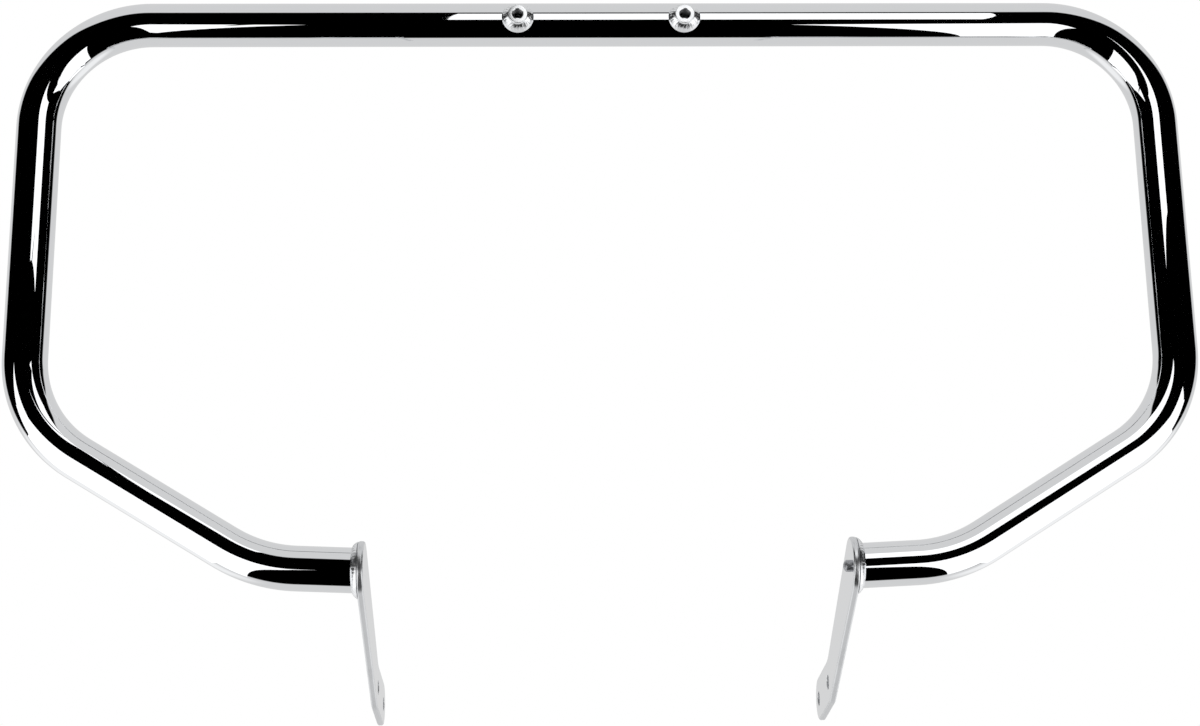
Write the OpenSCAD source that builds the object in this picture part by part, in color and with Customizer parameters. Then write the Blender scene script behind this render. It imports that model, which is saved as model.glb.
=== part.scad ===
// Motorcycle crash bar, also called an engine guard: one bent steel tube with a
// flat strap welded on each end and two threaded bungs welded into its top run.
// Millimetres, +Z up, -Y towards the front, right and left as +X and -X.
// The origin is midway between the two bung faces, on their plane.

/* [Tube] */
// Outside diameter of the tube
tube_d = 31.75; // [26:0.05:40]
// Wall thickness of the tube
tube_wall = 3; // [1.5:0.1:5]
// Bend radius of the two top corners, on the tube's axis
corner_bend_r = 80; // [50:1:120]
// Bend radius of the two knees, on the tube's axis
knee_bend_r = 85; // [50:1:120]
// Bend radius of the two lower bends, on the tube's axis
foot_bend_r = 105; // [50:1:130]
// Growth of the tube's radius in its bends
bend_swell = 0.05; // [0.05:0.01:0.2]

/* [Loop] */
// Half width of the loop at the top corners, to the tube's axis
corner_half_w = 410.5; // [380:0.5:440]
// Half width of the loop at the knees, to the tube's axis
knee_half_w = 413; // [380:0.5:440]
// Depth of the knees below the top run
knee_drop = 299.5; // [250:0.5:330]
// Half width at the lower bends, where the diagonals meet the stubs
foot_bend_half_w = 244.5; // [230:0.5:270]
// Depth of the lower bends below the top run
foot_bend_drop = 402.5; // [380:0.5:440]
// Fall of the stubs towards the middle, in degrees
stub_fall = 2.5; // [0:0.1:8]

/* [Straps] */
// Distance between the inboard faces of the two straps
strap_gap = 339.5; // [300:0.5:350]
// Thickness of the strap plate
strap_t = 4.75; // [3:0.05:8]
// Radius of the strap's round upper end, about the tube's axis
lobe_r = 20.5; // [19:0.1:26]
// Half width of the strap at its neck, above the foot
neck_r = 15.8; // [13:0.1:18]
// How far the neck lies behind the tube's axis
neck_back = 112; // [100:0.5:118]
// How far the neck lies below the tube's end
neck_drop = 64.5; // [58:0.5:70]
// Half width of the foot that carries the bolt holes
foot_r = 16.5; // [14:0.1:19]
// How far the first bolt hole lies behind the tube's axis
foot_back = 129; // [124:0.5:140]
// How far the first bolt hole lies below the tube's end
foot_drop = 72.5; // [68:0.5:80]
// Slope of the foot below the horizontal, in degrees
foot_slope = 10; // [0:0.5:18]
// Spacing of the two bolt holes
bolt_spacing = 54; // [40:0.5:70]
// Diameter of the two bolt holes
bolt_hole_d = 11.1; // [8:0.1:14]
// Radius of the hollow corner where the strap's back edge meets the foot
flare_r = 40; // [10:1:60]

/* [Bungs] */
// Distance between the two bungs
bung_spacing = 123; // [80:0.5:200]
// Outside diameter of a bung
bung_d = 14.3; // [12:0.1:18]
// How far a bung stands out in front of the tube
bung_proud = 6; // [4:0.1:12]
// How far a bung reaches into the hollow of the tube, past the wall
bung_inside = 3; // [1:0.1:6]
// Core diameter of the thread
thread_core_d = 8; // [5:0.1:9]
// Edge break on the outside of a bung
bung_edge = 0.6; // [0.2:0.1:1]
// Radial gap between a bung and its hole in the tube
bung_fit = 0.1; // [0.05:0.05:0.3]

/* [Welds] */
// Leg of the fillet weld between tube and strap
strap_weld_leg = 4.2; // [2.5:0.1:5]
// Leg of the fillet weld round a bung
bung_weld_leg = 4.6; // [2.5:0.1:5]
// Crown of the weld faces, as a share of the leg
weld_crown = 0.12; // [0:0.01:0.2]

/* [Vent plug] */
// Diameter of the plug's domed head
plug_head_d = 8.4; // [7:0.1:12]
// Height of the plug's head above the strap
plug_head_h = 4.6; // [3:0.1:6]
// Diameter of the vent hole in the right strap
vent_d = 5; // [3:0.1:6]
// Radial gap between the plug's shank and the vent hole
plug_fit = 0.05; // [0.02:0.01:0.2]

/* [Hidden] */

CHROME = [0.80, 0.82, 0.85];
WELD = [0.88, 0.89, 0.90];
PLUG = [0.45, 0.46, 0.48];

$fn = 96;
BEAD_SECTIONS = 72;      // cross-sections round one weld bead
BEAD_STEPS = 4;          // steps across the crowned face of a bead
EPS = 1;                 // how far a cutter runs past the face that it cuts
BEND_LAP = 0.5;          // how far a straight of the tube laps into a bend
ARC_LAP = 0.02;          // how far a straight edge runs inside the arc that it meets
WELD_SEAT = 0.05;        // clearance that keeps a bead's facets off the round skin

tube_r = tube_d / 2;
bore_r = tube_r - tube_wall;
bung_r = bung_d / 2;
bar_y = tube_r + bung_proud;                // the plane of the tube's axis
strap_in_x = strap_gap / 2;                 // inboard face of the right strap
strap_out_x = strap_in_x + strap_t;         // its outboard face, where the tube ends
tube_end_z = -foot_bend_drop - (foot_bend_half_w - strap_out_x) * tan(stub_fall);
past_strap = tube_r * tan(stub_fall) + EPS; // the tube's run on past its sloping cut

// Corner points of the right half of the tube's axis, in X and Z.
AXIS = [
    [0, 0],
    [corner_half_w, 0],
    [knee_half_w, -knee_drop],
    [foot_bend_half_w, -foot_bend_drop],
    [strap_out_x - past_strap, tube_end_z - past_strap * tan(stub_fall)]
];
BEND_R = [0, corner_bend_r, knee_bend_r, foot_bend_r, 0];
LAST = len(AXIS) - 1;

// Points of the strap in its own plane: back along +Y, and up.
LOBE = [0, 0];
NECK = [neck_back, -neck_drop];
HOLE_1 = [foot_back, -foot_drop];
HOLE_2 = HOLE_1 + bolt_spacing * along(-foot_slope);

function along(angle) = [cos(angle), sin(angle)];
function bearing(a, b) = atan2(b[1] - a[1], b[0] - a[0]);
function heading(i) = bearing(AXIS[i], AXIS[i + 1]);
function wrap(angle) = angle > 180 ? angle - 360 : angle < -180 ? angle + 360 : angle;
function turn(i) = wrap(heading(i) - heading(i - 1));
function setback(i) = BEND_R[i] == 0 ? 0 : BEND_R[i] * tan(abs(turn(i)) / 2);

// Ends of the straight run that follows corner i.
function run_start(i) = AXIS[i] + setback(i) * along(heading(i));
function run_end(i) = AXIS[i + 1] - setback(i + 1) * along(heading(i));

// The straight line that touches two circles on one side, as its two points.
function tangent(a, ra, b, rb, side) =
    let (n = bearing(a, b) + side * acos((ra - rb) / norm(b - a)))
    [a + ra * along(n), b + rb * along(n)];

// Where the line through p and q meets the line through r and s.
function meet(p, q, r, s) =
    let (u = q - p, v = s - r, w = r - p)
    p + u * (w[0] * v[1] - w[1] * v[0]) / (u[0] * v[1] - u[1] * v[0]);

// Turns a shape drawn in X and Y into the upright plane of the bar.
module upright() {
    translate([0, bar_y, 0]) rotate([90, 0, 0]) children();
}

// A straight round bar between two points of the bar's plane, which laps into the bends.
// Its seam lies on the outer side of the loop, as the bends' seams do.
module rod(p, q, r) {
    translate([p[0], p[1], 0]) rotate([0, 0, bearing(p, q)]) rotate([0, 90, 0])
        translate([0, 0, -BEND_LAP]) rotate([0, 0, 90])
            cylinder(r = r, h = norm(q - p) + 2 * BEND_LAP);
}

// The round bar's bend at corner i, which turns clockwise.
module elbow(i, r) {
    centre = run_start(i) + BEND_R[i] * along(heading(i) - 90);
    translate([centre[0], centre[1], 0]) rotate([0, 0, heading(i) + 90])
        rotate_extrude(angle = -turn(i)) translate([BEND_R[i], 0]) circle(r = r + bend_swell);
}

// The whole bent run at one radius, past both straps.
module tube_run(r) {
    upright() {
        rod(-run_end(0), run_end(0), r);
        for (i = [1 : LAST - 1], side = [0, 1]) mirror([side, 0, 0]) {
            elbow(i, r);
            rod(run_start(i), run_end(i), r);
        }
    }
}

// Everything inboard of the straps' outboard faces, below the loop.
module between_straps() {
    reach = lobe_r + EPS;
    translate([-strap_out_x, bar_y - reach, tube_end_z - reach])
        cube([2 * strap_out_x, 2 * reach, 2 * reach]);
}

// Puts a piece at both bungs' places, or at one of them.
module at_bung(side) {
    translate([side * bung_spacing / 2, 0, 0]) children();
}

module guard_tube() {
    color(CHROME) difference() {
        tube_run(tube_r);
        tube_run(bore_r);
        between_straps();
        for (side = [-1, 1]) at_bung(side)
            translate([0, bar_y, 0]) rotate([90, 0, 0])
                cylinder(r = bung_r + bung_fit, h = tube_r + EPS);
    }
}

// Two discs and the flat between them.
module link(a, ra, b, rb) {
    left = tangent(a, ra - ARC_LAP, b, rb - ARC_LAP, 1);
    right = tangent(a, ra - ARC_LAP, b, rb - ARC_LAP, -1);
    translate(a) circle(r = ra);
    translate(b) circle(r = rb);
    polygon([right[0], right[1], left[1], left[0]]);
}

// The stretch between arm and foot: straight below, and with a hollow corner above.
module flare() {
    arm = tangent(LOBE, lobe_r - ARC_LAP, NECK, neck_r - ARC_LAP, 1);
    foot = tangent(HOLE_1, foot_r - ARC_LAP, HOLE_2, foot_r - ARC_LAP, 1);
    under = tangent(NECK, neck_r - ARC_LAP, HOLE_1, foot_r - ARC_LAP, -1);
    corner = meet(arm[0], arm[1], foot[0], foot[1]);
    bend = bearing(foot[0], foot[1]) - bearing(arm[0], arm[1]);
    t = flare_r * tan(bend / 2);
    arm_touch = corner - t * along(bearing(arm[0], arm[1]));
    foot_touch = corner + t * along(bearing(foot[0], foot[1]));
    centre = arm_touch + flare_r * along(bearing(arm[0], arm[1]) + 90);
    polygon([NECK, under[0], under[1], HOLE_1]);
    polygon([HOLE_1, foot[0], corner, arm[1], NECK]);
    difference() {
        polygon([HOLE_1, foot_touch, arm_touch, NECK]);
        translate(centre) circle(r = flare_r + ARC_LAP, $fn = 4 * $fn);
    }
}

module strap_outline() {
    link(LOBE, lobe_r, NECK, neck_r);
    flare();
    link(HOLE_1, foot_r, HOLE_2, foot_r);
}

// One strap, lying in its upright plane with its inboard face at strap_in_x.
module strap(vented) {
    color(CHROME) translate([strap_in_x, bar_y, tube_end_z]) rotate([90, 0, 90])
        difference() {
            linear_extrude(strap_t) strap_outline();
            for (hole = [HOLE_1, HOLE_2])
                translate([hole[0], hole[1], -EPS]) cylinder(d = bolt_hole_d, h = strap_t + 2 * EPS);
            if (vented) translate([0, 0, -EPS]) cylinder(d = vent_d, h = strap_t + 2 * EPS);
        }
}

module right_strap() {
    strap(true);
}

module left_strap() {
    mirror([1, 0, 0]) strap(false);
}

// A turned sleeve with a threaded hole, from its front face back into the tube.
module bung() {
    length = bung_proud + tube_wall + bung_inside;
    color(CHROME) rotate([-90, 0, 0]) difference() {
        rotate_extrude() polygon([
            [0, 0], [bung_r - bung_edge, 0], [bung_r, bung_edge],
            [bung_r, length - bung_edge], [bung_r - bung_edge, length], [0, length]
        ]);
        translate([0, 0, -EPS]) cylinder(d = thread_core_d, h = length + 2 * EPS);
    }
}

module right_bung() {
    at_bung(1) bung();
}

module left_bung() {
    at_bung(-1) bung();
}

// A closed ring from cross-sections that each hold the same number of points.
module ring(sections) {
    n = len(sections);
    k = len(sections[0]);
    polyhedron(
        points = [for (s = sections) for (p = s) p],
        faces = [for (i = [0 : n - 1]) for (j = [0 : k - 1])
            let (a = i * k, b = ((i + 1) % n) * k, m = (j + 1) % k)
            each [[a + j, a + m, b + j], [a + m, b + m, b + j]]]
    );
}

// The crowned face of a fillet weld, from its top to its toe.
function crowned(top, toe, out, leg) = [
    for (s = [0 : BEAD_STEPS])
        let (t = s / BEAD_STEPS)
        top * (1 - t) + toe * t + out * leg * weld_crown * sin(180 * t)
];

// A point of the stub's weld: r off the stub's axis, h along it from the strap.
function stub_point(angle, r, h) =
    let (run = r * sin(angle) * tan(stub_fall) + h)
    [run * cos(stub_fall) - r * sin(angle) * sin(stub_fall),
     r * cos(angle),
     r * sin(angle) * cos(stub_fall) + run * sin(stub_fall)];

module strap_weld() {
    leg = strap_weld_leg;
    color(WELD) translate([strap_out_x, bar_y, tube_end_z]) ring([
        for (i = [0 : BEAD_SECTIONS - 1])
            let (angle = 360 * i / BEAD_SECTIONS,
                 skin = tube_r + WELD_SEAT,
                 top = stub_point(angle, skin, leg),
                 toe = stub_point(angle, skin + leg, 0),
                 out = [sqrt(0.5), cos(angle) * sqrt(0.5), sin(angle) * sqrt(0.5)])
            concat([stub_point(angle, skin, 0)], crowned(top, toe, out, leg))
    ]);
}

module right_strap_weld() {
    strap_weld();
}

module left_strap_weld() {
    mirror([1, 0, 0]) strap_weld();
}

// A point just off the tube's skin, s away from the bung's axis as the skin runs.
function skin_point(angle, s) =
    let (round_by = s * sin(angle) / tube_r * 180 / PI, skin = tube_r + WELD_SEAT)
    [s * cos(angle), -skin * cos(round_by), skin * sin(round_by)];

// Where the bung's wall meets the tube's skin, raised by h along the bung.
function wall_point(angle, h) =
    let (wall = bung_r + WELD_SEAT, skin = tube_r + WELD_SEAT)
    [wall * cos(angle), -sqrt(pow(skin, 2) - pow(wall * sin(angle), 2)) - h, wall * sin(angle)];

module bung_weld() {
    leg = bung_weld_leg;
    color(WELD) translate([0, bar_y, 0]) ring([
        for (i = [0 : BEAD_SECTIONS - 1])
            let (angle = 360 * i / BEAD_SECTIONS,
                 top = wall_point(angle, leg),
                 toe = skin_point(angle, bung_r + leg),
                 out = [cos(angle) * sqrt(0.5), -sqrt(0.5), sin(angle) * sqrt(0.5)])
            concat([skin_point(angle, bung_r + leg / 2), wall_point(angle, 0)], crowned(top, toe, out, leg))
    ]);
}

module right_bung_weld() {
    at_bung(1) bung_weld();
}

module left_bung_weld() {
    at_bung(-1) bung_weld();
}

// A plug with a domed head, in the vent hole on the right stub's axis.
module vent_plug() {
    head_r = plug_head_d / 2;
    dome_r = (pow(head_r, 2) + pow(plug_head_h / 2, 2)) / plug_head_h;
    color(PLUG) translate([strap_in_x, bar_y, tube_end_z]) rotate([0, -90, 0]) {
        translate([0, 0, -strap_t]) cylinder(d = vent_d - 2 * plug_fit, h = strap_t + plug_head_h / 4);
        cylinder(r = head_r, h = plug_head_h / 2);
        translate([0, 0, plug_head_h / 2]) intersection() {
            translate([0, 0, plug_head_h / 2 - dome_r]) sphere(r = dome_r);
            cylinder(r = head_r, h = plug_head_h);
        }
    }
}

guard_tube();
right_strap();
left_strap();
right_bung();
left_bung();
right_strap_weld();
left_strap_weld();
right_bung_weld();
left_bung_weld();
vent_plug();
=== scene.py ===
"""The dressed crash bar in its studio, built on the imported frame.

The bar's sizes are in millimetres until a mesh is made. The studio's are in metres.
"""

import logging
import math
from abc import ABC, abstractmethod
from dataclasses import dataclass, field
from enum import Enum
from typing import Callable

import bmesh
import bpy
from mathutils import Matrix, Vector


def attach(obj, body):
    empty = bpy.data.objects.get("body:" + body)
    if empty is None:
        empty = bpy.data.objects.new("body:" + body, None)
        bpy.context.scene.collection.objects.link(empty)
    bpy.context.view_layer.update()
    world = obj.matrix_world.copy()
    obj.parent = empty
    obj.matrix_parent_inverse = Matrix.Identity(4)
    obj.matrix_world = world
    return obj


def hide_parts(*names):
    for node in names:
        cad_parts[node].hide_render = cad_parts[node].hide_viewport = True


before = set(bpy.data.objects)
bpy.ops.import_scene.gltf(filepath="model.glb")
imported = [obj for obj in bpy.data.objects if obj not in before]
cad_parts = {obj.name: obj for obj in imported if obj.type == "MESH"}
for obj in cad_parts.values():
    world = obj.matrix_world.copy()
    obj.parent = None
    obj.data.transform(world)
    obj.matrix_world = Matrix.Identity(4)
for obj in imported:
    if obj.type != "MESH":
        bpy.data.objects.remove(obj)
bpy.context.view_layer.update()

logging.basicConfig(level=logging.INFO, format="%(message)s")
LOG = logging.getLogger("crash_bar")

MM = 0.001
# An edge that turns more than this shades sharp.
SHARP_TURN = math.radians(38.0)
# The X part of a normal, below which a strap's face is a wall and above which it is flat.
WALL_BELOW = 0.5
FLAT_ABOVE = 0.999
# Points closer than this, in metres, are one: within a skin, and where two skins join.
MERGE = 0.000001
SEAM_MERGE = 0.00001
WHITE = (1.0, 1.0, 1.0, 1.0)
Point = tuple[float, float]
Corner = tuple[float, float, float]


class Side(Enum):
    """The two sides of the loop, as the sign of X."""

    RIGHT = 1
    LEFT = -1

    @property
    def word(self) -> str:
        """The side as the pieces' names give it."""
        return self.name.lower()


class Term:
    """A number socket that takes part in Python arithmetic."""

    def __init__(self, graph: "Graph", socket: bpy.types.NodeSocket) -> None:
        """Keeps the socket and the graph that its maths goes into."""
        self.graph = graph
        self.socket = socket

    def maths(self, operation: str, *others: "Term | float") -> "Term":
        """Adds one Math node on this socket.

        Args:
            operation: The Math node's operation.
            others: The operands after this one.

        Returns:
            The result as a new term.
        """
        values = dict(enumerate((self, *others)))
        node = self.graph.add("ShaderNodeMath", {"operation": operation}, values)
        return Term(self.graph, node.outputs[0])

    def __add__(self, other: "Term | float") -> "Term":
        """Returns self + other."""
        return self.maths("ADD", other)

    def __radd__(self, other: float) -> "Term":
        """Returns other + self."""
        return self.maths("ADD", other)

    def __sub__(self, other: "Term | float") -> "Term":
        """Returns self - other."""
        return self.maths("SUBTRACT", other)

    def __rsub__(self, other: float) -> "Term":
        """Returns other - self."""
        return (self * -1.0).maths("ADD", other)

    def __mul__(self, other: "Term | float") -> "Term":
        """Returns self * other."""
        return self.maths("MULTIPLY", other)

    def __rmul__(self, other: float) -> "Term":
        """Returns other * self."""
        return self.maths("MULTIPLY", other)

    def step(self, low: float, high: float) -> "Term":
        """Eases from 0 to 1 while this term goes from low to high.

        Args:
            low: Where the ease begins.
            high: Where it ends.

        Returns:
            The eased term.
        """
        settings = {"interpolation_type": "SMOOTHSTEP"}
        node = self.graph.add("ShaderNodeMapRange", settings, {0: self, 1: low, 2: high})
        return Term(self.graph, node.outputs[0])


class Graph:
    """One node tree, with a single way to add a node."""

    def __init__(self, tree: bpy.types.NodeTree) -> None:
        """Keeps the tree that nodes are added to."""
        self.tree = tree

    def add(self, kind: str, settings: dict | None = None, inputs: dict | None = None) -> bpy.types.Node:
        """Adds a node, sets it and feeds its sockets.

        Args:
            kind: The node's type.
            settings: Properties of the node, set first.
            inputs: Values or links, by socket name or number.

        Returns:
            The new node.
        """
        node = self.tree.nodes.new(kind)
        for name, value in (settings or {}).items():
            setattr(node, name, value)
        for key, value in (inputs or {}).items():
            self.feed(node.inputs[key], value)
        return node

    def feed(self, socket: bpy.types.NodeSocket, value: object) -> None:
        """Links a term, node or socket to an input, or sets a plain value.

        Args:
            socket: The input.
            value: What it takes. A node stands for its first output.
        """
        if isinstance(value, Term):
            value = value.socket
        if isinstance(value, bpy.types.Node):
            value = value.outputs[0]
        if isinstance(value, bpy.types.NodeSocket):
            self.tree.links.new(value, socket)
        else:
            socket.default_value = value

    def term(self, node: bpy.types.Node, output: int | str = 0) -> Term:
        """Wraps one output of a node."""
        return Term(self, node.outputs[output])


class PieceNodes(Graph):
    """A Geometry Nodes tree that turns a base mesh into one finished piece."""

    def __init__(self, name: str, sizes: dict[str, float | int]) -> None:
        """Starts the tree.

        Args:
            name: The tree's name.
            sizes: Its named inputs and their values.
        """
        super().__init__(bpy.data.node_groups.new(name, "GeometryNodeTree"))
        face = self.tree.interface
        face.new_socket(name="Geometry", in_out="INPUT", socket_type="NodeSocketGeometry")
        face.new_socket(name="Geometry", in_out="OUTPUT", socket_type="NodeSocketGeometry")
        self.sizes = sizes
        self.keys: dict[str, str] = {}
        for label, value in sizes.items():
            kind = "NodeSocketInt" if isinstance(value, int) else "NodeSocketFloat"
            self.keys[label] = face.new_socket(name=label, in_out="INPUT", socket_type=kind).identifier
        self.source = self.add("NodeGroupInput")

    def base(self) -> bpy.types.NodeSocket:
        """Returns the base mesh's socket."""
        return self.source.outputs["Geometry"]

    def size(self, label: str) -> Term:
        """Returns a named input as a term."""
        return self.term(self.source, label)

    def named(self, label: str) -> bpy.types.NodeSocket:
        """Reads a named vector of the base mesh's points."""
        settings = {"data_type": "FLOAT_VECTOR"}
        return self.add("GeometryNodeInputNamedAttribute", settings, {"Name": label}).outputs[0]

    def smooth(self, geometry: bpy.types.Node) -> bpy.types.Node:
        """Shades everything smooth."""
        return self.add("GeometryNodeSetShadeSmooth", {}, {"Geometry": geometry, "Shade Smooth": True})

    def sharpen(self, geometry: bpy.types.Node, degrees: float) -> bpy.types.Node:
        """Shades smooth, apart from edges that turn more than an angle.

        Args:
            geometry: The node that holds the mesh.
            degrees: The largest turn that still shades smooth.

        Returns:
            The node that holds the shaded mesh.
        """
        turn = self.term(self.add("GeometryNodeInputMeshEdgeAngle"))
        sharp = turn.maths("GREATER_THAN", math.radians(degrees))
        return self.add(
            "GeometryNodeSetShadeSmooth", {"domain": "EDGE"},
            {"Geometry": self.smooth(geometry), "Selection": sharp, "Shade Smooth": False})

    def make(self, name: str, base: bpy.types.Mesh, result: bpy.types.Node,
             material: bpy.types.Material) -> bpy.types.Object:
        """Ends the tree, runs it on the base mesh and keeps its result as a plain mesh.

        Args:
            name: The piece's name.
            base: The mesh that the tree starts from.
            result: The node that holds the result.
            material: The piece's material.

        Returns:
            The finished piece, with no modifier left.
        """
        real = self.add("GeometryNodeRealizeInstances", {}, {"Geometry": result})
        dressed = self.add("GeometryNodeSetMaterial", {}, {"Geometry": real, "Material": material})
        self.add("NodeGroupOutput", {}, {"Geometry": dressed})
        piece = link_mesh(name, base)
        modifier = piece.modifiers.new(name, "NODES")
        modifier.node_group = self.tree
        for label, key in self.keys.items():
            modifier[key] = self.sizes[label]
        flatten(piece)
        return piece


def link_mesh(name: str, mesh: bpy.types.Mesh) -> bpy.types.Object:
    """Makes an object of a mesh and links it to the scene.

    Args:
        name: The object's name.
        mesh: The mesh, which holds its own place.

    Returns:
        The object, at the origin.
    """
    piece = bpy.data.objects.new(name, mesh)
    bpy.context.scene.collection.objects.link(piece)
    return piece


def flatten(piece: bpy.types.Object) -> None:
    """Applies a piece's modifiers to its mesh and removes them.

    Args:
        piece: The object with the modifiers.
    """
    bpy.context.view_layer.update()
    graph = bpy.context.evaluated_depsgraph_get()
    mesh = bpy.data.meshes.new_from_object(piece.evaluated_get(graph), depsgraph=graph)
    piece.modifiers.clear()
    mesh.name = piece.name
    piece.data = mesh


def mesh_of(name: str, points: list[Vector], edges: list[tuple[int, int]],
            faces: list[tuple[int, ...]]) -> bpy.types.Mesh:
    """Makes a mesh from points in millimetres.

    Args:
        name: The mesh's name.
        points: Its points.
        edges: Its loose edges, by the numbers of their points.
        faces: Its faces, the same way.

    Returns:
        The mesh, in metres.
    """
    mesh = bpy.data.meshes.new(name)
    mesh.from_pydata([tuple(p * MM) for p in points], edges, faces)
    mesh.update()
    return mesh


def moved(x: float, y: float, z: float) -> Matrix:
    """Returns the shift by so many millimetres."""
    return Matrix.Translation(Vector((x, y, z)) * MM)


def pour(shell: bmesh.types.BMesh, mesh: bpy.types.Mesh) -> None:
    """Adds a mesh to the shell and drops the mesh."""
    shell.from_mesh(mesh)
    bpy.data.meshes.remove(mesh)


def skin_rings(name: str, rings: list[list[Vector]], closed: bool) -> bpy.types.Mesh:
    """Joins rings of points into one skin, merges its doubles and turns its faces out.

    Args:
        name: The mesh's name.
        rings: Rings with the same number of points.
        closed: Whether the last ring meets the first.

    Returns:
        The mesh.
    """
    width = len(rings[0])
    points = [p for ring in rings for p in ring]
    last = len(rings) if closed else len(rings) - 1
    faces = []
    for i in range(last):
        low, high = i * width, (i + 1) % len(rings) * width
        for j in range(width):
            after = (j + 1) % width
            faces.append((low + j, low + after, high + after, high + j))
    mesh = mesh_of(name, points, [], faces)
    shell = bmesh.new()
    shell.from_mesh(mesh)
    bmesh.ops.remove_doubles(shell, verts=shell.verts, dist=MERGE)
    bmesh.ops.recalc_face_normals(shell, faces=shell.faces)
    for face in shell.faces:
        face.smooth = True
    for edge in shell.edges:
        edge.smooth = len(edge.link_faces) < 2 or edge.calc_face_angle(0.0) < SHARP_TURN
    shell.to_mesh(mesh)
    shell.free()
    return mesh


def turned(columns: int, y: float, radius: Callable[[float], float]) -> list[Vector]:
    """Returns a ring about the +Y axis.

    Args:
        columns: How many points go round.
        y: Where the ring lies on the axis.
        radius: The radius at a share of a turn.

    Returns:
        The ring's points.
    """
    ring = []
    for j in range(columns):
        a, r = 2 * math.pi * j / columns, radius(j / columns)
        ring.append(Vector((r * math.cos(a), y, r * math.sin(a))))
    return ring


def lathe(columns: int, profile: list[Point]) -> list[list[Vector]]:
    """Turns a profile of radius and way along the +Y axis into rings. A radius of 0 is a pole."""
    return [turned(columns, y, lambda _, r=r: r) for r, y in profile]


def along(degrees: float) -> Vector:
    """Returns the plane's unit vector at an angle."""
    return Vector((math.cos(math.radians(degrees)), math.sin(math.radians(degrees))))


def bearing(a: Vector, b: Vector) -> float:
    """Returns the direction from a to b in the plane, in degrees."""
    return math.degrees(math.atan2(b[1] - a[1], b[0] - a[0]))


def tangent(a: Vector, ra: float, b: Vector, rb: float, side: int) -> tuple[Vector, Vector]:
    """Finds the straight line that touches two circles on one side.

    Args:
        a: The first centre.
        ra: The first radius.
        b: The second centre.
        rb: The second radius.
        side: 1 for the left side of the way from a to b, -1 for the right.

    Returns:
        The line's two points.
    """
    normal = along(bearing(a, b) + side * math.degrees(math.acos((ra - rb) / (b - a).length)))
    return a + ra * normal, b + rb * normal


def meet(p: Vector, q: Vector, r: Vector, s: Vector) -> Vector:
    """Returns where the line through p and q meets the line through r and s."""
    u, v, w = q - p, s - r, r - p
    return p + u * ((w[0] * v[1] - w[1] * v[0]) / (u[0] * v[1] - u[1] * v[0]))


def arc(centre: Vector, radius: float, start: float, turn: float, step: float = 3.0) -> list[Vector]:
    """Returns points on an arc, with both of its ends.

    Args:
        centre: The arc's centre.
        radius: Its radius.
        start: The bearing of its first point, in degrees.
        turn: How far it turns, in degrees, anticlockwise if positive.
        step: The largest turn from point to point.

    Returns:
        The points in order.
    """
    count = max(1, math.ceil(abs(turn) / step))
    return [centre + radius * along(start + turn * i / count) for i in range(count + 1)]


def blank_material(name: str) -> tuple[bpy.types.Material, Graph]:
    """Makes a material with an empty node tree.

    Args:
        name: The material's name.

    Returns:
        The material and its tree.
    """
    material = bpy.data.materials.new(name)
    material.use_nodes = True
    graph = Graph(material.node_tree)
    graph.tree.nodes.clear()
    return material, graph


@dataclass(frozen=True)
class ChromeFinish:
    """Bright chrome plate: almost a mirror, with a faint haze and the softest polishing waves."""

    name: str = "chrome_plate"
    colour: tuple[float, float, float] = (0.86, 0.87, 0.885)
    roughness: float = 0.012
    haze: float = 0.012
    haze_scale: float = 55.0
    haze_detail: float = 3.0
    haze_band: Point = (0.45, 0.75)
    wave_size: float = 24.0
    wave_detail: float = 1.0
    wave_depth: float = 0.004

    def material(self) -> bpy.types.Material:
        """Builds the material.

        Returns:
            A metal whose roughness and normal change a little over the surface.
        """
        material, graph = blank_material(self.name)
        place = graph.add("ShaderNodeTexCoord").outputs["Object"]
        cloud = graph.add("ShaderNodeTexNoise", {}, {
            "Vector": place, "Scale": self.haze_scale, "Detail": self.haze_detail})
        waves = graph.add("ShaderNodeTexNoise", {}, {
            "Vector": place, "Scale": 1.0 / (self.wave_size * MM), "Detail": self.wave_detail})
        haze = graph.term(cloud).step(*self.haze_band) * self.haze
        bump = graph.add("ShaderNodeBump", {}, {
            "Strength": 1.0, "Distance": self.wave_depth * MM, "Height": waves})
        shine = graph.add("ShaderNodeBsdfPrincipled", {}, {
            "Base Color": (*self.colour, 1.0), "Metallic": 1.0, "Roughness": haze + self.roughness,
            "Normal": bump})
        graph.add("ShaderNodeOutputMaterial", {}, {"Surface": shine})
        return material


@dataclass(frozen=True)
class DarkFinish:
    """Plated steel that polishing never reached, such as a thread."""

    name: str = "dull_plate"
    colour: tuple[float, float, float] = (0.34, 0.345, 0.355)
    roughness: float = 0.38
    blotch_scale: float = 400.0
    blotch_detail: float = 4.0
    blotch_band: Point = (0.35, 0.7)
    blotch_tone: float = 0.6
    blotch_roughness: float = 0.25

    def material(self) -> bpy.types.Material:
        """Builds the material.

        Returns:
            A grey metal with blotches of a duller grey.
        """
        material, graph = blank_material(self.name)
        place = graph.add("ShaderNodeTexCoord").outputs["Object"]
        cloud = graph.add("ShaderNodeTexNoise", {}, {
            "Vector": place, "Scale": self.blotch_scale, "Detail": self.blotch_detail})
        blotch = graph.term(cloud)
        darker = (*(c * self.blotch_tone for c in self.colour), 1.0)
        tint = graph.add("ShaderNodeMix", {"data_type": "RGBA"}, {
            0: blotch.step(*self.blotch_band), 6: (*self.colour, 1.0), 7: darker})
        shine = graph.add("ShaderNodeBsdfPrincipled", {}, {
            "Base Color": tint.outputs[2], "Metallic": 1.0,
            "Roughness": blotch * self.blotch_roughness + self.roughness})
        graph.add("ShaderNodeOutputMaterial", {}, {"Surface": shine})
        return material


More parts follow.
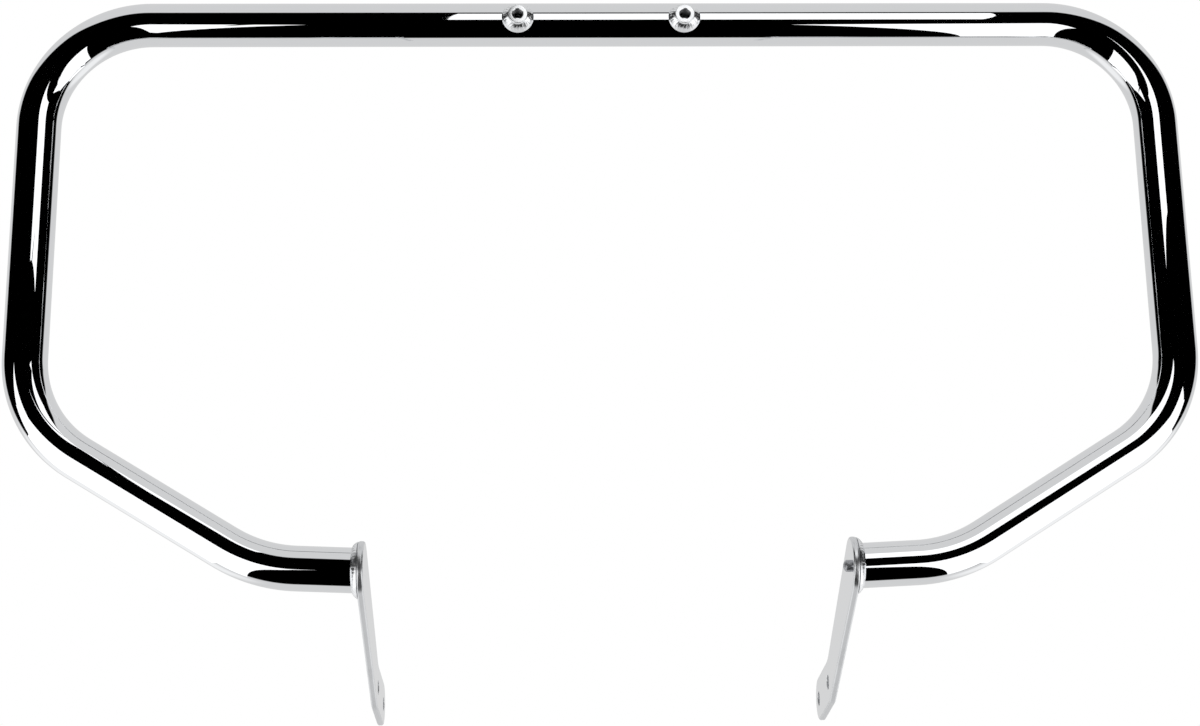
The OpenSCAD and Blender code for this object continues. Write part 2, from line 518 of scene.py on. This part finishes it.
@dataclass
class Palette:
    """The finishes of the bar, each built once."""

    chrome: bpy.types.Material = field(default_factory=lambda: ChromeFinish().material())
    bead: bpy.types.Material = field(default_factory=lambda: ChromeFinish(
        name="chrome_bead", roughness=0.25, haze=0.08, wave_size=2.0, wave_depth=0.008).material())
    edge: bpy.types.Material = field(default_factory=lambda: ChromeFinish(
        name="chrome_cut_edge", colour=(0.75, 0.76, 0.775), roughness=0.28, haze=0.12, wave_size=3.0,
        wave_depth=0.01).material())
    satin: bpy.types.Material = field(default_factory=lambda: ChromeFinish(
        name="satin_plug", colour=(0.45, 0.46, 0.48), roughness=0.42, haze=0.1, wave_size=3.0,
        wave_depth=0.01).material())
    dull: bpy.types.Material = field(default_factory=lambda: DarkFinish().material())


def finished(piece: bpy.types.Object, node: str) -> None:
    """Rides a piece on the bar, hides the solid that it stands for and logs its face count.

    Args:
        piece: The finished piece.
        node: The solid that it replaces.
    """
    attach(piece, "root")
    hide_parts(node)
    LOG.info("%s: %d faces", piece.name, len(piece.data.polygons))


@dataclass
class GuardTube:
    """The bent tube: its axis as straights and bends, swept, bored and cut."""

    outer_r: float = 15.875
    bore_r: float = 12.875
    axis_y: float = 21.875
    corners: tuple[Point, ...] = ((410.5, 0.0), (413.0, -299.5), (244.5, -402.5))
    bend_radii: tuple[float, ...] = (80.0, 85.0, 105.0)
    end_x: float = 174.5
    stub_fall: float = 2.5
    past_end: float = 12.0
    past_skin: float = 3.0
    bung_spacing: float = 123.0
    bung_hole_r: float = 7.25
    segments: int = 128
    bore_share: float = 0.375
    drill_sides: int = 64
    bend_step: float = 2.5
    straight_step: float = 6.0
    sharp_turn: float = 40.0

    @property
    def end_z(self) -> float:
        """The height at which the axis reaches the strap."""
        x, z = self.corners[-1]
        return z - (x - self.end_x) * math.tan(math.radians(self.stub_fall))

    def bung_x(self, side: Side) -> float:
        """Returns where a bung's axis lies."""
        return side.value * self.bung_spacing / 2

    def half_axis(self) -> list[Vector]:
        """Finds the right half of the tube's axis.

        Returns:
            Points from the middle of the top run to past the strap.
        """
        points = [Vector(p) for p in ((0.0, 0.0), *self.corners)]
        drop = self.past_end * math.tan(math.radians(self.stub_fall))
        points.append(Vector((self.end_x - self.past_end, self.end_z - drop)))
        line = [points[0]]
        for i, radius in enumerate(self.bend_radii, start=1):
            before, after = bearing(points[i - 1], points[i]), bearing(points[i], points[i + 1])
            turn = (after - before + 180.0) % 360.0 - 180.0
            back = radius * math.tan(math.radians(abs(turn)) / 2)
            start = points[i] - back * along(before)
            centre = start + radius * along(before - 90.0)
            line += self.straight(line[-1], start)[1:-1]
            line += arc(centre, radius, before + 90.0, turn, self.bend_step)
        line += self.straight(line[-1], points[-1])[1:]
        return line

    def straight(self, start: Vector, end: Vector) -> list[Vector]:
        """Returns even points on a straight run, with both of its ends."""
        count = max(1, round((end - start).length / self.straight_step))
        return [start.lerp(end, i / count) for i in range(count + 1)]

    def build(self, palette: Palette) -> None:
        """Sweeps the tube along its axis, then cuts the bore, the ends and the bungs' holes.

        Args:
            palette: The bar's finishes.
        """
        half = self.half_axis()
        line = [Vector((-p[0], self.axis_y, p[1])) for p in reversed(half[1:])]
        line += [Vector((p[0], self.axis_y, p[1])) for p in half]
        path = mesh_of("guard_tube_path", line, [(i, i + 1) for i in range(len(line) - 1)], [])
        nodes = PieceNodes("guard_tube_sweep", {
            "Outer Radius": self.outer_r * MM, "Bore Radius": self.bore_r * MM,
            "Segments": self.segments, "Bung Hole Radius": self.bung_hole_r * MM})
        curve = nodes.add("GeometryNodeMeshToCurve", {}, {"Mesh": nodes.base()})
        skin = self.sweep(nodes, curve, "Outer Radius", nodes.size("Segments"))
        bore = self.sweep(nodes, curve, "Bore Radius", nodes.size("Segments") * self.bore_share)
        cut = nodes.add("GeometryNodeMeshBoolean", {"operation": "DIFFERENCE"}, {"Mesh 1": skin})
        for cutter in (bore, self.end_cutter(nodes), self.drills(nodes)):
            nodes.feed(cut.inputs["Mesh 2"], cutter)
        piece = nodes.make("tube_loop", path, nodes.sharpen(cut, self.sharp_turn), palette.chrome)
        finished(piece, "guard_tube")

    @staticmethod
    def sweep(nodes: PieceNodes, curve: bpy.types.Node, radius: str, segments: Term) -> bpy.types.Node:
        """Sweeps a circle along the axis, with closed ends.

        Args:
            nodes: The tube's tree.
            curve: The node that holds the axis.
            radius: The name of the circle's radius among the tree's inputs.
            segments: How many points the circle has.

        Returns:
            The node that holds the solid.
        """
        ring = nodes.add("GeometryNodeCurvePrimitiveCircle", {"mode": "RADIUS"}, {
            "Resolution": segments, "Radius": nodes.size(radius)})
        return nodes.add("GeometryNodeCurveToMesh", {}, {
            "Curve": curve, "Profile Curve": ring, "Fill Caps": True})

    def end_cutter(self, nodes: PieceNodes) -> bpy.types.Node:
        """Makes the box that cuts both stubs off flush with the straps.

        Args:
            nodes: The tube's tree.

        Returns:
            The node that holds the box, which lies between the straps.
        """
        reach = self.outer_r + self.past_skin
        size = Vector((2 * self.end_x, 2 * reach, 2 * reach)) * MM
        box = nodes.add("GeometryNodeMeshCube", {}, {"Size": size})
        return nodes.add("GeometryNodeTransform", {}, {
            "Geometry": box, "Translation": Vector((0.0, self.axis_y, self.end_z)) * MM})

    def drills(self, nodes: PieceNodes) -> bpy.types.Node:
        """Makes the cylinders that open the tube's skin at the bungs.

        The cut is known to be incomplete: the holes' walls are missing, and the bore runs on closed
        behind them, 9 mm below the bungs' front faces. The repair is still to be made.

        Args:
            nodes: The tube's tree.

        Returns:
            The node that holds both cylinders.
        """
        drill = nodes.add("GeometryNodeMeshCylinder", {}, {
            "Vertices": self.drill_sides, "Radius": nodes.size("Bung Hole Radius"),
            "Depth": 2 * self.outer_r * MM})
        first = Vector((self.bung_x(Side.LEFT), self.axis_y - self.outer_r, 0.0)) * MM
        onward = Vector((self.bung_spacing, 0.0, 0.0)) * MM
        row = nodes.add("GeometryNodeMeshLine", {"mode": "OFFSET"}, {
            "Count": len(Side), "Start Location": first, "Offset": onward})
        pair = nodes.add("GeometryNodeInstanceOnPoints", {}, {
            "Points": row, "Instance": drill, "Rotation": (math.pi / 2, 0.0, 0.0)})
        return nodes.add("GeometryNodeRealizeInstances", {}, {"Geometry": pair})


@dataclass
class Strap:
    """A flat strap with a round upper end, an arm and a foot with two bolt holes."""

    side: Side
    tube: GuardTube
    thickness: float = 4.75
    lobe_r: float = 20.5
    neck: Point = (112.0, -64.5)
    neck_r: float = 15.8
    foot: Point = (129.0, -72.5)
    foot_r: float = 16.5
    foot_slope: float = 10.0
    bolt_spacing: float = 54.0
    bolt_hole_r: float = 5.55
    bolt_hole_step: float = 7.5
    flare_r: float = 40.0
    vent_r: float = 2.5
    vent_step: float = 15.0
    edge_r: float = 1.6
    edge_steps: int = 5
    hole_edge: float = 0.3
    hair: float = 0.02

    @property
    def inner_x(self) -> float:
        """How far the inboard face lies from the middle of the bar."""
        return self.tube.end_x - self.thickness

    def outline(self, inset: float) -> list[Vector]:
        """Returns the outline, anticlockwise, back along the first axis and up along the second.

        Args:
            inset: How far it lies within the plate's widest outline.

        Returns:
            The points, the same number of them for any inset.
        """
        lobe, neck, (hole_1, hole_2) = Vector((0.0, 0.0)), Vector(self.neck), self.bolts()
        lobe_r, neck_r, foot_r = (r - inset for r in (self.lobe_r, self.neck_r, self.foot_r))
        below = tangent(lobe, lobe_r, neck, neck_r, -1)
        under = tangent(neck, neck_r, hole_1, foot_r, -1)
        sole = tangent(hole_1, foot_r, hole_2, foot_r, -1)
        top = tangent(hole_1, foot_r, hole_2, foot_r, 1)
        arm = tangent(lobe, lobe_r, neck, neck_r, 1)
        corner = meet(arm[0], arm[1], top[0], top[1])
        arm_way, top_way = bearing(*arm), bearing(*top)
        flare_r = self.flare_r + inset
        reach = flare_r * math.tan(math.radians(top_way - arm_way) / 2)
        hollow = corner - reach * along(arm_way) + flare_r * along(arm_way + 90.0)
        points = self.round_off(lobe, lobe_r, arm[0], below[0])
        points += self.round_off(neck, neck_r, below[1], under[0])
        points += self.round_off(hole_1, foot_r, under[1], sole[0])
        points += self.round_off(hole_2, foot_r, sole[1], top[1])
        points += arc(hollow, flare_r, top_way - 90.0, arm_way - top_way)
        return points

    @staticmethod
    def round_off(centre: Vector, radius: float, start: Vector, end: Vector) -> list[Vector]:
        """Returns the anticlockwise arc about a centre from one touching point to the next."""
        first = bearing(centre, start)
        return arc(centre, radius, first, (bearing(centre, end) - first) % 360.0)

    def bolts(self) -> tuple[Vector, Vector]:
        """Returns the centres of the two bolt holes."""
        hole_1 = Vector(self.foot)
        return hole_1, hole_1 + self.bolt_spacing * along(-self.foot_slope)

    def holes(self, grow: float) -> list[list[Vector]]:
        """Finds the rims of the holes.

        Args:
            grow: How much larger than its hole each rim is.

        Returns:
            The rims, clockwise.
        """
        rims = [arc(c, self.bolt_hole_r + grow, 0.0, -360.0, self.bolt_hole_step)[:-1] for c in self.bolts()]
        if self.side is Side.RIGHT:
            rims.append(arc(Vector((0.0, 0.0)), self.vent_r + grow, 0.0, -360.0, self.vent_step)[:-1])
        return rims

    @staticmethod
    def level(depth: float, loop: list[Vector]) -> list[Vector]:
        """Lays a flat loop at a depth in the plate."""
        return [Vector((depth, p[0], p[1])) for p in loop]

    def bands(self) -> list[list[list[Vector]]]:
        """Makes the rings of the rounded outer edge and of the holes' walls.

        Returns:
            The rings of the edge, then those of each hole.
        """
        turns = [math.pi / 2 * k / self.edge_steps for k in range(self.edge_steps + 1)]
        edge = [(self.edge_r * (1 - math.sin(a)), self.edge_r * (1 - math.cos(a))) for a in turns]
        edge += [(inset, self.thickness - depth) for inset, depth in reversed(edge)]
        bands = [[self.level(depth, self.outline(self.hair + inset)) for inset, depth in edge]]
        wall = ((self.hole_edge, 0.0), (0.0, self.hole_edge), (0.0, self.thickness - self.hole_edge),
                (self.hole_edge, self.thickness))
        for rims in zip(*(self.holes(grow) for grow, _ in wall)):
            bands.append([self.level(depth, rim) for rim, (_, depth) in zip(rims, wall)])
        return bands

    def slab(self, name: str) -> bpy.types.Mesh:
        """Fills the two flat faces between the outline and the holes.

        Args:
            name: The name of the curve that is filled.

        Returns:
            The flat faces, with plain walls between them, from the inboard face on.
        """
        curve = bpy.data.curves.new(name, "CURVE")
        curve.dimensions = "2D"
        curve.fill_mode = "BOTH"
        curve.extrude = self.thickness / 2 * MM
        for loop in (self.outline(self.hair + self.edge_r), *self.holes(self.hole_edge)):
            spline = curve.splines.new("POLY")
            spline.points.add(len(loop) - 1)
            spline.use_cyclic_u = True
            for point, place in zip(spline.points, loop):
                point.co = (place[0] * MM, place[1] * MM, 0.0, 1.0)
        piece = bpy.data.objects.new(name, curve)
        bpy.context.scene.collection.objects.link(piece)
        bpy.context.view_layer.update()
        mesh = bpy.data.meshes.new_from_object(piece.evaluated_get(bpy.context.evaluated_depsgraph_get()))
        bpy.data.curves.remove(curve)
        upright = Matrix(((0, 0, 1, self.thickness / 2 * MM), (1, 0, 0, 0), (0, 1, 0, 0), (0, 0, 0, 1)))
        mesh.transform(upright)
        return mesh

    def build(self, palette: Palette) -> None:
        """Joins the flat faces and the rounded edges into one skin and stands it in its place.

        Args:
            palette: The bar's finishes.
        """
        name = f"{self.side.word}_strap_plate"
        shell = bmesh.new()
        pour(shell, self.slab(name))
        walls = [face for face in shell.faces if abs(face.normal.x) < WALL_BELOW]
        bmesh.ops.delete(shell, geom=walls, context="FACES")
        for rings in self.bands():
            pour(shell, skin_rings(name, rings, False))
        bmesh.ops.remove_doubles(shell, verts=shell.verts, dist=SEAM_MERGE)
        shell.transform(moved(self.inner_x, self.tube.axis_y, self.tube.end_z))
        shell.transform(Matrix.Diagonal((self.side.value, 1.0, 1.0, 1.0)))
        # The left strap is known to come out with its faces pointing inwards. Still to be mended.
        bmesh.ops.recalc_face_normals(shell, faces=shell.faces)
        for face in shell.faces:
            face.smooth = True
            face.material_index = 0 if abs(face.normal.x) > FLAT_ABOVE else 1
        for edge in shell.edges:
            edge.smooth = edge.calc_face_angle(0.0) < SHARP_TURN
        mesh = bpy.data.meshes.new(name)
        shell.to_mesh(mesh)
        shell.free()
        mesh.materials.append(palette.chrome)
        mesh.materials.append(palette.edge)
        piece = link_mesh(name, mesh)
        piece.modifiers.new("normals", "WEIGHTED_NORMAL").keep_sharp = True
        flatten(piece)
        finished(piece, f"{self.side.word}_strap")


@dataclass
class Bung:
    """A turned bung with a real helical thread in its hole."""

    side: Side
    tube: GuardTube
    outer_r: float = 7.15
    length: float = 12.0
    edge_r: float = 0.35
    edge_steps: int = 4
    core_r: float = 4.0
    thread_depth: float = 0.7
    pitch: float = 1.5875
    crest: float = 1.4
    flank: float = 3.2
    mouth: float = 0.35
    columns: int = 96
    rows: int = 90

    def thread_r(self, y: float, turn: float) -> float:
        """Finds the radius of the threaded hole.

        Args:
            y: The depth in the bung.
            turn: The share of a turn about its axis.

        Returns:
            The radius there.
        """
        phase = (y / self.pitch - turn) % 1.0
        wave = min(1.0, max(0.0, self.crest - self.flank * abs(phase - 0.5)))
        fade = min(1.0, max(0.0, (y - self.mouth) / self.pitch), max(0.0, (self.length - y) / self.pitch))
        return self.core_r + self.thread_depth * wave * fade

    def build(self, palette: Palette) -> None:
        """Makes the outside and the threaded hole as one closed skin.

        Args:
            palette: The bar's finishes.
        """
        profile = [(self.core_r + self.mouth, 0.0), (self.outer_r - self.edge_r, 0.0)]
        for k in range(1, self.edge_steps + 1):
            a = math.pi / 2 * k / self.edge_steps
            profile.append((self.outer_r - self.edge_r * (1 - math.sin(a)), self.edge_r * (1 - math.cos(a))))
        profile += [(self.outer_r, self.length - self.edge_r), (self.outer_r - self.edge_r, self.length)]
        rings = lathe(self.columns, profile)
        for i in range(self.rows + 1):
            y = self.length - (self.length - self.mouth) * i / self.rows
            rings.append(turned(self.columns, y, lambda turn, y=y: self.thread_r(y, turn)))
        name = f"{self.side.word}_bung_turned"
        mesh = skin_rings(name, rings, True)
        mesh.materials.append(palette.bead)
        mesh.materials.append(palette.dull)
        for face in mesh.polygons:
            inside = math.hypot(face.center.x, face.center.z) < (self.core_r + self.thread_depth) * MM
            face.material_index = 1 if inside and face.center.y > self.mouth * MM else 0
        mesh.transform(moved(self.tube.bung_x(self.side), 0.0, 0.0))
        finished(link_mesh(name, mesh), f"{self.side.word}_bung")


@dataclass
class VentPlug:
    """The small domed plug in the middle of the right strap's round end."""

    strap: Strap
    head_r: float = 4.2
    head_h: float = 4.6
    shank_r: float = 2.45
    dome_steps: int = 12
    columns: int = 64

    def build(self, palette: Palette) -> None:
        """Turns the plug and lays its axis along X, head inboard.

        Args:
            palette: The bar's finishes.
        """
        dome_h, length = self.head_h / 2, self.strap.thickness
        dome_r = (self.head_r ** 2 + dome_h ** 2) / (2 * dome_h)
        centre = -self.head_h + dome_r
        profile = [(0.0, length), (self.shank_r, length), (self.shank_r, 0.0), (self.head_r, 0.0)]
        for k in range(self.dome_steps + 1):
            y = -dome_h - dome_h * k / self.dome_steps
            profile.append((math.sqrt(max(0.0, dome_r ** 2 - (y - centre) ** 2)), y))
        mesh = skin_rings("vent_plug_dome", lathe(self.columns, profile), False)
        place = moved(self.strap.inner_x, self.strap.tube.axis_y, self.strap.tube.end_z)
        mesh.transform(place @ Matrix.Rotation(-math.pi / 2, 4, "Z"))
        mesh.materials.append(palette.satin)
        finished(link_mesh("vent_plug_dome", mesh), "vent_plug")


@dataclass
class WeldBead(ABC):
    """A fillet bead round a joint, whose ripples are raised by Geometry Nodes."""

    side: Side
    tube: GuardTube
    joint: str = "strap"
    leg: float = 4.2
    ripples: int = 44
    first_seed: int = 3
    columns: int = 480
    steps: int = 12
    crown: float = 0.10
    ripple_height: float = 0.10
    ripple_lag: float = 2.4
    ripple_power: float = 0.6
    ripple_share: float = 0.55
    lump_scale: float = 260.0
    lump_detail: float = 2.0
    lump_share: float = 0.9
    mean_height: float = 0.45
    bow_peak: float = 4.0

    @abstractmethod
    def section(self, degrees: float) -> tuple[Vector, Vector, Vector, Vector]:
        """Returns the bead's root, top, toe and outward direction at an angle."""

    def base(self, name: str) -> bpy.types.Mesh:
        """Makes the plain ring, whose points know their place on it and its outward direction.

        Args:
            name: The mesh's name.

        Returns:
            The closed ring, with the vectors "place" and "out" on its points.
        """
        rings, places, outs = [], [], []
        for i in range(self.columns):
            root, top, toe, out = self.section(360.0 * i / self.columns)
            ring = [root]
            places.append(Vector((0.0, 0.0, 0.0)))
            outs.append(Vector((0.0, 0.0, 0.0)))
            for k in range(self.steps + 1):
                t = k / self.steps
                ring.append(top.lerp(toe, t) + out * self.leg * self.crown * math.sin(math.pi * t))
                places.append(Vector((i / self.columns, t, 0.0)))
                outs.append(out)
            rings.append(ring)
        mesh = skin_rings(name, rings, True)
        for label, vectors in (("place", places), ("out", outs)):
            attribute = mesh.attributes.new(label, "FLOAT_VECTOR", "POINT")
            attribute.data.foreach_set("vector", [c for v in vectors for c in v])
        return mesh

    def build(self, palette: Palette) -> None:
        """Lays the plain ring, then raises the ripples on its open face.

        Args:
            palette: The bar's finishes.
        """
        name = f"{self.side.word}_{self.joint}_bead"
        base = self.base(name)
        nodes = PieceNodes(name + "_ripples", {
            "Ripples": float(self.ripples), "Height": self.leg * self.ripple_height * MM,
            "Seed": float(self.first_seed + self.side.value)})
        place = nodes.add("ShaderNodeSeparateXYZ", {}, {0: nodes.named("place")})
        turn, across = nodes.term(place, 0), nodes.term(place, 1)
        lump = nodes.term(nodes.add("ShaderNodeTexNoise", {"noise_dimensions": "4D"}, {
            "W": nodes.size("Seed"), "Scale": self.lump_scale, "Detail": self.lump_detail}))
        bow = across * (1.0 - across)
        phase = turn * nodes.size("Ripples") + bow * self.ripple_lag + lump * self.lump_share
        ripple = phase.maths("FRACT").maths("POWER", self.ripple_power)
        height = ripple * self.ripple_share + lump * self.lump_share - self.mean_height
        raised = height * bow * self.bow_peak * nodes.size("Height")
        offset = nodes.add("ShaderNodeVectorMath", {"operation": "SCALE"}, {
            0: nodes.named("out"), "Scale": raised})
        laid = nodes.add("GeometryNodeSetPosition", {}, {"Geometry": nodes.base(), "Offset": offset})
        piece = nodes.make(name, base, nodes.smooth(laid), palette.bead)
        finished(piece, f"{self.side.word}_{self.joint}_weld")


@dataclass
class StrapWeld(WeldBead):
    """The bead between a stub of the tube and its strap."""

    def point(self, degrees: float, r: float, h: float) -> Vector:
        """Finds a point round the stub.

        Args:
            degrees: The angle about the stub's axis.
            r: How far the point lies off that axis.
            h: How far it lies from the strap, along the stub.

        Returns:
            The point in the frame.
        """
        a, fall = math.radians(degrees), math.radians(self.tube.stub_fall)
        run = r * math.sin(a) * math.tan(fall) + h
        off = Vector((run * math.cos(fall) - r * math.sin(a) * math.sin(fall), r * math.cos(a),
                      r * math.sin(a) * math.cos(fall) + run * math.sin(fall)))
        place = off + Vector((self.tube.end_x, self.tube.axis_y, self.tube.end_z))
        return place * Vector((self.side.value, 1.0, 1.0))

    def section(self, degrees: float) -> tuple[Vector, Vector, Vector, Vector]:
        """Finds the bead's section.

        Args:
            degrees: The angle about the stub's axis.

        Returns:
            The root, the top on the tube, the toe on the strap and the outward direction.
        """
        a, r = math.radians(degrees), self.tube.outer_r
        out = Vector((self.side.value, math.cos(a), math.sin(a))).normalized()
        return (self.point(degrees, r, 0.0), self.point(degrees, r, self.leg),
                self.point(degrees, r + self.leg, 0.0), out)


@dataclass
class BungWeld(WeldBead):
    """The bead round a bung, on the saddle where it meets the tube."""

    joint: str = "bung"
    leg: float = 4.6
    ripples: int = 22
    first_seed: int = 9
    bung_r: float = Bung.outer_r

    def skin(self, degrees: float, s: float) -> Vector:
        """Finds a point on the tube's skin.

        Args:
            degrees: The angle about the bung's axis.
            s: How far the point lies from that axis, along the skin.

        Returns:
            The point, from where the bung's axis crosses the tube's.
        """
        a, r = math.radians(degrees), self.tube.outer_r
        round_by = s * math.sin(a) / r
        return Vector((s * math.cos(a), -r * math.cos(round_by), r * math.sin(round_by)))

    def section(self, degrees: float) -> tuple[Vector, Vector, Vector, Vector]:
        """Finds the bead's section.

        Args:
            degrees: The angle about the bung's axis.

        Returns:
            The root, the top on the bung, the toe on the tube and the outward direction.
        """
        a, r = math.radians(degrees), self.tube.outer_r
        x, z = self.bung_r * math.cos(a), self.bung_r * math.sin(a)
        root = Vector((x, -math.sqrt(r * r - z * z), z))
        toe = self.skin(degrees, self.bung_r + self.leg)
        out = Vector((math.cos(a), -1.0, math.sin(a))).normalized()
        place = Vector((self.tube.bung_x(self.side), self.tube.axis_y, 0.0))
        return root + place, root + Vector((0.0, -self.leg, 0.0)) + place, toe + place, out


@dataclass(frozen=True)
class Card:
    """A flat panel, bright or black, that only reflections show, by its corners in metres."""

    name: str
    corners: tuple[Corner, ...]
    light: float = 1.3

    def build(self) -> None:
        """Hangs the panel and hides it from everything but reflections."""
        mesh = bpy.data.meshes.new(self.name)
        mesh.from_pydata(self.corners, [], [tuple(range(len(self.corners)))])
        card = link_mesh(self.name, mesh)
        material, graph = blank_material(self.name)
        glow = graph.add("ShaderNodeEmission", {}, {"Color": WHITE, "Strength": self.light})
        graph.add("ShaderNodeOutputMaterial", {}, {"Surface": glow})
        mesh.materials.append(material)
        card.visible_camera = False
        card.visible_diffuse = False
        card.visible_shadow = False
        card.visible_transmission = False


@dataclass
class Studio:
    """The floor, lamp, panels, sky and camera, in metres and radians."""

    floor_z: float = -0.90
    floor_half: float = 6.0
    floor_tone: float = 0.86
    floor_roughness: float = 0.9
    card_lift: float = 0.01
    board_z: float = -0.10
    behind: float = 0.71
    edge_lift: float = 0.28
    plain_light: float = 0.75
    corner_band: Point = (0.3, 0.6)
    ceiling_band: Point = (0.48, 0.52)
    ceiling_tilt: float = 0.38
    ceiling_shade: float = 0.17
    back_band: Point = (0.27, 0.35)
    back_tilt: float = 0.24
    back_shade: float = 0.03
    side_band: Point = (0.3, 0.5)
    rear_band: Point = (0.2, 0.5)
    low_band: Point = (0.1, 0.3)
    lamp_watts: float = 45.0
    lamp_size: float = 2.5
    lamp_place: Corner = (-0.4, -0.8, 2.2)
    eye: Corner = (-0.04906, -1.37496, -0.57472)
    pitch: float = 0.22274
    yaw: float = 0.03237
    roll: float = -0.01358
    lens: float = 60.0
    sensor: float = 36.0

    def cards(self) -> tuple[Card, ...]:
        """Lists the panels that only reflections show.

        Returns:
            The softbox, the table's white sides, two far walls and a small black board.
        """
        z = self.floor_z + self.card_lift
        softbox = ((-0.165, -1.20, 0.147), (0.482, -0.882, 0.105), (0.55, -0.85, 0.78),
                   (-0.165, -1.20, 1.04))
        right = ((0.452, 0.065), (0.452, -2.3), (3.4, -6.0), (6.0, -6.0), (6.0, -1.6), (2.03, 0.0),
                 (2.03, 0.4), (0.72, 0.4), (0.64, 0.065))
        left = ((-0.51, 0.12), (-0.51, -2.45), (-3.4, -6.0), (-6.0, -6.0), (-6.0, -1.6), (-2.03, 0.0),
                (-2.03, 0.4), (-0.75, 0.4), (-0.70, 0.12))
        wall_left = ((-4.8, -1.2, z), (-3.1, -2.95, z), (-3.1, -2.95, 0.5))
        wall_right = ((4.8, -1.2, z), (3.1, -2.95, z), (3.1, -2.95, 0.0))
        board = ((-0.31, -0.17), (-0.29, -0.30), (-0.10, -0.30), (-0.10, -0.75), (-0.31, -0.75))
        return (
            Card("front_softbox", softbox),
            Card("table_right", tuple((x, y, z) for x, y in right)),
            Card("table_left", tuple((x, y, z) for x, y in left)),
            Card("wall_left", wall_left),
            Card("wall_right", wall_right),
            Card("black_board", tuple((x, y, self.board_z) for x, y in board), 0.0),
        )

    def sky(self) -> None:
        """Makes the world: white to the camera, and grey above and behind the chrome, dark in front."""
        world = bpy.data.worlds.new("studio")
        bpy.context.scene.world = world
        world.use_nodes = True
        graph = Graph(world.node_tree)
        graph.tree.nodes.clear()
        way = graph.add("ShaderNodeTexCoord").outputs["Generated"]
        parts = graph.add("ShaderNodeSeparateXYZ", {}, {0: way})
        x, y, z = (graph.term(parts, i) for i in range(3))
        aside = x.maths("ABSOLUTE")
        shade = aside.step(*self.corner_band) * z.step(*self.corner_band)
        ceiling = (z + y * self.ceiling_tilt - shade * self.ceiling_shade).step(*self.ceiling_band)
        back = (y - z * self.back_tilt - shade * self.back_shade).step(*self.back_band)
        low = (z * -1.0).step(*self.low_band)
        edges = aside.step(*self.side_band) * y.step(*self.rear_band) * low * self.edge_lift
        light = ceiling.maths("MAXIMUM", back) * self.behind + edges
        path = graph.add("ShaderNodeLightPath")
        seen = graph.term(path, "Is Camera Ray")
        mirrored = graph.term(path, "Is Glossy Ray")
        plain = (1.0 - seen) * (1.0 - mirrored) * self.plain_light
        strength = seen + mirrored * (1.0 - seen) * light + plain
        sky = graph.add("ShaderNodeBackground", {}, {"Color": WHITE, "Strength": strength})
        graph.add("ShaderNodeOutputWorld", {}, {"Surface": sky})

    def floor(self) -> None:
        """Lays the plain pale floor, well below the hanging bar."""
        half = self.floor_half
        plan = ((-half, -half), (half, -half), (half, half), (-half, half))
        mesh = bpy.data.meshes.new("studio_floor")
        mesh.from_pydata([(x, y, self.floor_z) for x, y in plan], [], [(0, 1, 2, 3)])
        floor = link_mesh("studio_floor", mesh)
        material, graph = blank_material("pale_floor")
        paint = graph.add("ShaderNodeBsdfPrincipled", {}, {
            "Base Color": (self.floor_tone, self.floor_tone, self.floor_tone, 1.0),
            "Roughness": self.floor_roughness, "Specular IOR Level": 0.0})
        graph.add("ShaderNodeOutputMaterial", {}, {"Surface": paint})
        mesh.materials.append(material)
        floor.visible_glossy = False

    def lamp(self) -> None:
        """Hangs one wide soft lamp, which only the floor and its shadow need."""
        lamp = bpy.data.lights.new("overhead", "AREA")
        lamp.energy = self.lamp_watts
        lamp.size = self.lamp_size
        holder = bpy.data.objects.new("overhead", lamp)
        holder.location = self.lamp_place
        holder.rotation_euler = (-Vector(self.lamp_place)).to_track_quat("-Z", "Y").to_euler()
        holder.visible_glossy = False
        bpy.context.scene.collection.objects.link(holder)

    def camera(self) -> None:
        """Sets the camera where the photograph was taken from."""
        data = bpy.data.cameras.new("camera")
        data.sensor_fit = "HORIZONTAL"
        data.sensor_width = self.sensor
        data.lens = self.lens
        ahead = Vector((math.sin(self.yaw) * math.cos(self.pitch),
                        math.cos(self.yaw) * math.cos(self.pitch), math.sin(self.pitch)))
        right = Vector((math.cos(self.yaw), -math.sin(self.yaw), 0.0))
        up = right.cross(ahead)
        side = right * math.cos(self.roll) + up * math.sin(self.roll)
        top = up * math.cos(self.roll) - right * math.sin(self.roll)
        camera = bpy.data.objects.new("camera", data)
        facing = Matrix((side, top, -ahead)).transposed().to_4x4()
        camera.matrix_world = Matrix.Translation(self.eye) @ facing
        bpy.context.scene.collection.objects.link(camera)
        bpy.context.scene.camera = camera

    def build(self) -> None:
        """Sets up the whole studio."""
        self.sky()
        self.floor()
        for card in self.cards():
            card.build()
        self.lamp()
        self.camera()
        bpy.context.scene.view_settings.view_transform = "Standard"


def main() -> None:
    """Builds the bar piece by piece, then its studio."""
    palette = Palette()
    tube = GuardTube()
    tube.build(palette)
    for side in Side:
        for piece in (Strap, StrapWeld, Bung, BungWeld):
            piece(side, tube).build(palette)
    VentPlug(Strap(Side.RIGHT, tube)).build(palette)
    Studio().build()


if __name__ == "__main__":
    main()
